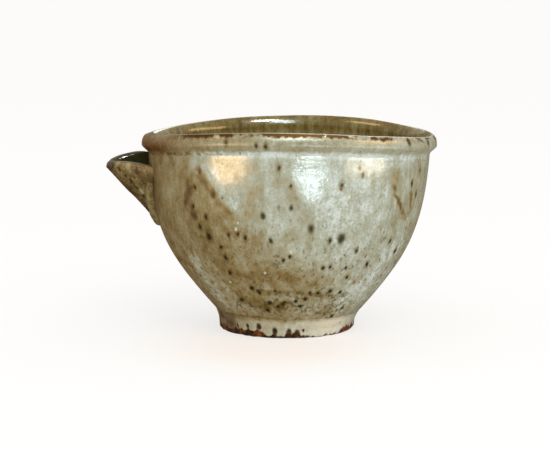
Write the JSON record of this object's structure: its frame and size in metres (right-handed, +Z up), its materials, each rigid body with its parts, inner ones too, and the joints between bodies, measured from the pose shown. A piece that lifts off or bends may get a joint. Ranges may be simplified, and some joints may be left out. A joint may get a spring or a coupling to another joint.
{
  "type": "katakuchi sake pourer",
  "caption": "Stoneware katakuchi: a thrown bowl with a rolled collar, a luted foot ring and a beak spout set over a pour hole under the collar, grey-green glaze breaking brown.",
  "frame": {"origin": "centre of the foot ring on the table", "axes": "+Z up out of the mouth, -X along the spout"},
  "size_m": [0.1316, 0.109, 0.0819],
  "materials": {
    "ash_glaze": "glossy grey-green ash glaze over iron-specked stoneware, breaking brown where thin",
    "bare_clay": "fired brown stoneware, unglazed at the tread"
  },
  "bodies": {
    "root": {"bowl": "ash_glaze", "foot_ring": "bare_clay", "foot_coil": "ash_glaze", "spout": "ash_glaze", "spout_coil": "ash_glaze"}
  },
  "joints": []
}
